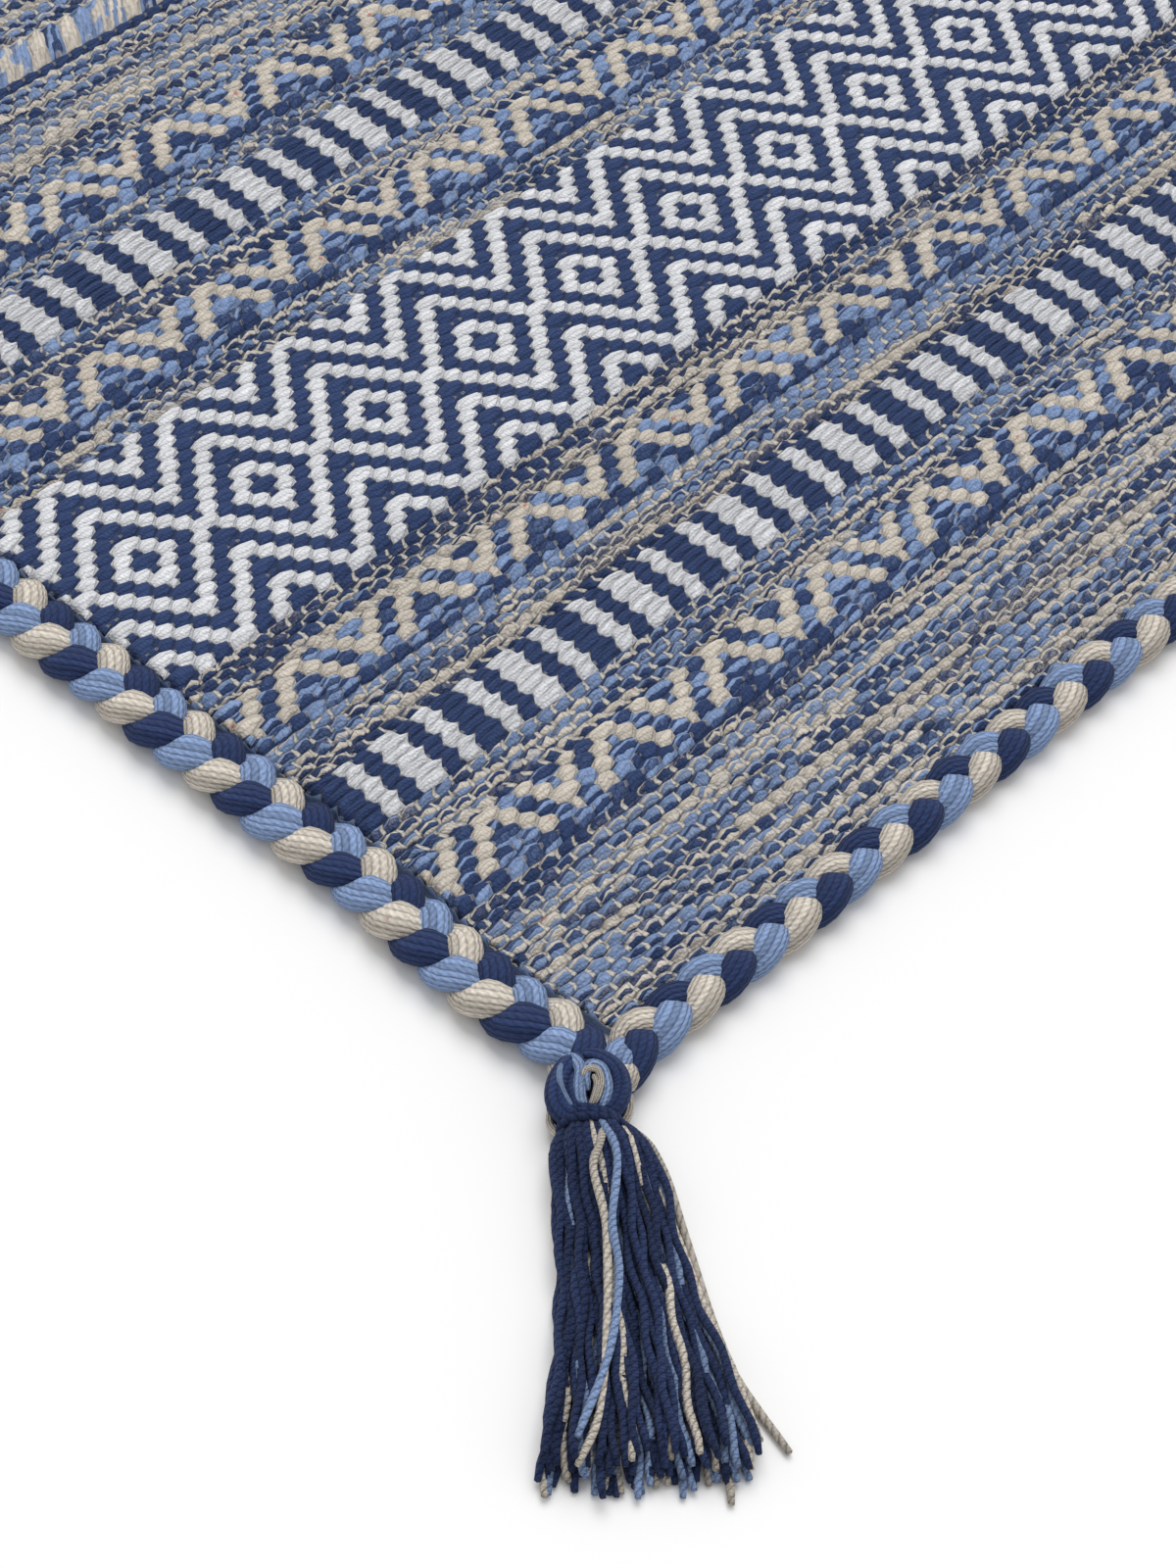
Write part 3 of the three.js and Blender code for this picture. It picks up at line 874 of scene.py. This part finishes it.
def from_corner(sx, sy, out, side, up):
    """A place given along the tassel, across it and up, at the corner with these signs."""
    x = KNOT_PLACE[0] - out * math.cos(TASSEL_ANGLE) + side * math.sin(TASSEL_ANGLE)
    y = KNOT_PLACE[1] - out * math.sin(TASSEL_ANGLE) - side * math.cos(TASSEL_ANGLE)
    return np.stack([-sx * (x - RUG_WIDTH / 2), -sy * (y - RUG_LENGTH / 2), up], 1)


def outwards_from(sx, sy, out, up):
    """The way a wound strand faces: straight away from a place on the tassel's middle line."""
    middle = from_corner(sx, sy, np.array([out]), np.array([0.0]), np.array([up]))[0]
    return lambda which, along, centre: centre - middle


def smooth_line(points, along):
    """A soft curve through a short table of points."""
    points = np.array(points, float)
    x = np.clip(along, -0.02, 1.02) * (len(points) - 1)
    k = np.clip(np.floor(x).astype(int), 0, len(points) - 2)
    f = (x - k)[:, None]
    ends = np.vstack([2 * points[0] - points[1], points, 2 * points[-1] - points[-2]])
    a, b, c, d = ends[k], ends[k + 1], ends[k + 2], ends[k + 3]
    return 0.5 * (2 * b + (c - a) * f + (2 * a - 5 * b + 4 * c - d) * f * f
                  + (3 * b - a - 3 * c + d) * f ** 3)


# Bundles of the knot: yarn, half width, half thickness, then places along, across and up in mm
KNOT_BUNDLES = [
    (N, 3.0, 2.6, [(-6.5, -1.5, 10), (-4.5, -4.2, 11.8), (-0.5, -6.9, 11.2), (3.8, -7.6, 9.6),
                   (7, -5.4, 8.2), (9, -2, 7.4)]),
    (N, 2.9, 2.6, [(-8, -1, 9.4), (-6, 3, 11.8), (-2.6, 6.4, 11.8), (1, 7.4, 10.8),
                   (4.8, 6.2, 9.4), (8.6, 2, 7.6)]),
    (N, 2.8, 2.4, [(-7.5, -0.5, 8), (-4, 0.4, 11), (0, 3.0, 11.2), (4, 2.8, 10), (8.5, 0.5, 7.6)]),
    (N, 3.0, 2.6, [(-7, -1.5, 8), (-2, -3.4, 10.6), (2, -3.8, 10.2), (5.5, -2.6, 9),
                   (8.6, -1, 7.6)]),
    (B, 1.5, 1.2, [(-7.5, -5.4, 10.4), (-5.4, -3.4, 13.2), (-1.6, -1.9, 14.0), (2.2, -2.4, 12.9),
                   (5.4, -2.2, 11), (8, -1.2, 9)]),
    (B, 1.35, 1.2, [(3.4, -0.6, 12.2), (0.6, -1.1, 14.0), (-2.4, 0.5, 14.6), (-1.5, 3.2, 14.2),
                    (2.7, 4.3, 12.6), (6, 3.2, 10.8), (8, 1.4, 9)]),
    (E, 0.75, 0.75, [(1.2, -1.6, 14.4), (-0.6, -0.6, 15.2), (-0.4, 1.7, 15.4), (1.8, 2.7, 14.2),
                     (4.6, 2.0, 12.6), (6.8, 0.4, 10.4)]),
    (E, 0.7, 0.7, [(0.6, 0.9, 14.8), (2.4, 1.6, 13.8), (4.6, 1.0, 12.4), (7.2, -0.2, 10.2)]),
    (B, 0.75, 0.7, [(-3.4, -6.2, 14.0), (0.4, -7.0, 13.8), (3.6, -6.2, 12.0), (7, -4.0, 10.0)]),
    (N, 3.2, 2.6, [(-7, 3.5, 4.6), (-1, 6.6, 5.2), (4, 6.2, 5), (9, 2, 4.6)]),
    (N, 3.2, 2.6, [(-7, -3.5, 4.6), (-1, -6.8, 5), (4, -6.6, 4.8), (9, -2, 4.6)]),
    (E, 1.2, 1.0, [(-4, 8, 5.6), (1, 9.8, 6), (5.5, 9.4, 5.4), (9.5, 6.5, 4.6)]),
    (E, 1.1, 0.9, [(2, -8.6, 3.6), (6.5, -9.2, 3.8), (10, -7.8, 4.2), (13, -5, 4)]),
]
# Layers of loose yarns from the floor up: how many, how far they reach, shares of navy and of blue
YARN_LAYERS = [
    (31, 104.5, 0.5, 0.26), (29, 103, 0.62, 0.22), (25, 101, 0.78, 0.14), (18, 99, 0.86, 0.08),
]
# How the fan spreads: place along the tassel, middle of the fan, and half its width, in mm
YARN_SPREAD = [
    (6, 0.6, 4.6), (12, 1.4, 9.5), (17, 2.0, 11.6), (27, 3.0, 12.8), (47, 3.8, 14.0),
    (68, 5.0, 17.2), (89, 5.4, 21.2), (112, 5.0, 25.0),
]
# Yarns that lie apart on top: yarn, then places along, across and up in mm
LOOSE_WAYS = [
    (B, [(9, 1.6, 10), (22, 4.9, 12), (40.5, 2.3, 11), (54, 2.8, 10), (74.5, -1.1, 9.4),
         (96, -10, 8.8)]),
    (E, [(11, 2.6, 9.0), (18, 1.4, 11.4), (25, -0.8, 11.0), (40, 0.9, 10), (63.5, -0.6, 9),
         (89, -4.4, 8), (102, -10.2, 7.2)]),
    (E, [(10, 8, 6), (13, 13, 4.4), (23, 17.4, 2), (55, 22.7, 1.5), (77, 27.8, 1.2),
         (97, 37.5, 1.2)]),
    (E, [(10, 7, 7), (14, 11.2, 6), (23, 13.6, 5), (41, 17.7, 4.6), (63, 22.8, 4.2),
         (76, 26.5, 4), (95, 31, 3)]),
]
# Where the loose yarns leave the knot, in mm along the tassel
YARN_ROOT = 7.5


def tassel_yarns(seed):
    """The table of one tassel's yarns: colour, lane at root and tip, layer, reach, bend, phase."""
    luck = np.random.default_rng(seed)
    yarns = []
    for layer, (count, reach, navy, blue) in enumerate(YARN_LAYERS):
        for i in range(count):
            lane = (i + 0.5 + luck.uniform(-0.25, 0.25)) / count * 2 - 1
            dice = luck.uniform()
            shade = N if dice < navy else (B if dice < navy + blue else E)
            yarns.append((
                shade, lane, lane + luck.normal(0, 0.08), layer + luck.uniform(-0.3, 0.3),
                reach + luck.normal(0, 1.7), luck.normal(0, 1.8), luck.uniform(*ANY_PHASE)))
    return yarns


def fan_of_yarns(name, sx, sy, seed):
    """The loose yarns of one tassel, which fall from the knot to the floor and spread."""
    yarns = tassel_yarns(seed)
    table = np.array([y[1:] for y in yarns])
    spread_out, spread_middle, spread_half = smooth_line(YARN_SPREAD, np.linspace(0, 1, 80)).T

    def path(which, along):
        root, tip, layer, reach, bend, phase = table[np.minimum(which, len(yarns) - 1)].T
        out = YARN_ROOT + along * (reach - YARN_ROOT)
        share = np.clip((out - YARN_ROOT) / 100, 0, 1.1)
        # Across: in its lane of the fan, with a long bend and a short ripple
        lane = root + (tip - root) * share
        side = np.interp(out, spread_out, spread_middle) + lane * np.interp(
            out, spread_out, spread_half)
        side += bend * np.sin(4.2 * share + phase) * np.minimum(1, 2.2 * share) * (
            1 - 0.7 * np.abs(lane))
        side += 0.6 * np.sin(29 * share + 3 * phase) * np.minimum(1, 4 * share)
        # Up: from its layer in the round crown under the binding down to its layer on the floor
        fall = eased(np.clip((out - 8) / 30, 0, 1))
        crown = np.sqrt(np.clip(1 - (0.9 * root) ** 2, 0.1, 1))
        near = 1.8 + (layer + 0.3) * 2.8 * crown * (
            0.8 + 0.2 * np.clip((out - YARN_ROOT) / 6, 0, 1))
        rest = 1.15 + np.maximum(layer, 0) * 2.1 * (0.45 + 0.55 * crown)
        up = near + (rest - near) * fall + 0.9 * np.sin(13 * share + 5 * phase) * fall * (
            layer > 0.3)
        for n, (_, way) in enumerate(LOOSE_WAYS):
            mine = which - len(yarns) == n
            out[mine], side[mine], up[mine] = smooth_line(way, along[mine]).T
        return from_corner(sx, sy, out, side, up)

    def skin(which, along, round_it):
        thick = (1.05 + 0.08 * np.sin(along * 40 + which)) * np.clip((1 - along) * 40 + 0.8, 0.8, 1)
        return around_path(path, upwards, which, along, round_it, thick, thick)

    shades = [y[0] for y in yarns] + [way[0] for way in LOOSE_WAYS]
    return spun_strands("yarns_" + name, len(shades), round_steps=5, long_steps=24, skin=skin,
                        colours=shades, finish=loose_yarn)


def corner_knot(name, sx, sy):
    """The bundles of both plaits, wound over each other round the middle of the knot."""
    shades, half_wide, half_thick, ways = zip(*KNOT_BUNDLES)
    half_wide, half_thick = np.array(half_wide), np.array(half_thick)
    away = outwards_from(sx, sy, 0.0, 5.0)

    def path(which, along):
        places = np.zeros((len(which), 3))
        for n, way in enumerate(ways):
            mine = which == n
            places[mine] = smooth_line(way, along[mine])
        return from_corner(sx, sy, *places.T)

    def skin(which, along, round_it):
        tail = np.clip(np.minimum(along, 1 - along) * 6 + 0.5, 0.5, 1)
        return around_path(path, away, which, along, round_it,
                           half_wide[which] * tail, half_thick[which] * tail, 0.85)
    return spun_strands("knot_" + name, len(ways), round_steps=16, long_steps=24, skin=skin,
                        colours=shades, finish=knot_yarn)


def corner_binding(name, sx, sy):
    """Three turns of navy yarn round the neck of the tassel, each a little wider than the last."""
    away = outwards_from(sx, sy, 10.0, 6.2)

    def path(which, along):
        angle = 2 * np.pi * along
        out = 7.9 + which * 1.35 + (1.9 - 0.5 * which) * np.cos(angle + 0.4 * which)
        side = 0.6 + (6.9 + 0.45 * which) * np.cos(angle)
        up = 6.2 + (5.3 - 0.15 * which) * np.sin(angle)
        return from_corner(sx, sy, out, side, up)

    def skin(which, along, round_it):
        thick = np.full(len(which), 1.05)
        return around_path(path, away, which, along, round_it, thick, thick)
    return spun_strands("binding_" + name, 3, round_steps=8, long_steps=32, skin=skin,
                        colours=[N, N, N], finish=binding_yarn)


loose_yarn = spun_finish("tassel_cotton", yarns=2, length=100.0, twist=0.9, helix=0.41)
binding_yarn = spun_finish("binding_cotton", yarns=2, length=46.0, twist=0.9, helix=0.41)
knot_yarn = spun_finish("knot_cotton", yarns=8, length=42.0, twist=2.3)
for draw, (name, node, sx, sy) in enumerate((
    ("near_left", "tassel_near_left", -1, -1), ("near_right", "tassel_near_right", 1, -1),
    ("far_right", "tassel_far_right", 1, 1), ("far_left", "tassel_far_left", -1, 1),
), start=1):
    yarn_piece = fan_of_yarns(name, sx, sy, draw)
    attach(yarn_piece, "root")
    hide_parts(node)
    knot_piece = corner_knot(name, sx, sy)
    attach(knot_piece, "root")
    wrap_piece = corner_binding(name, sx, sy)
    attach(wrap_piece, "root")
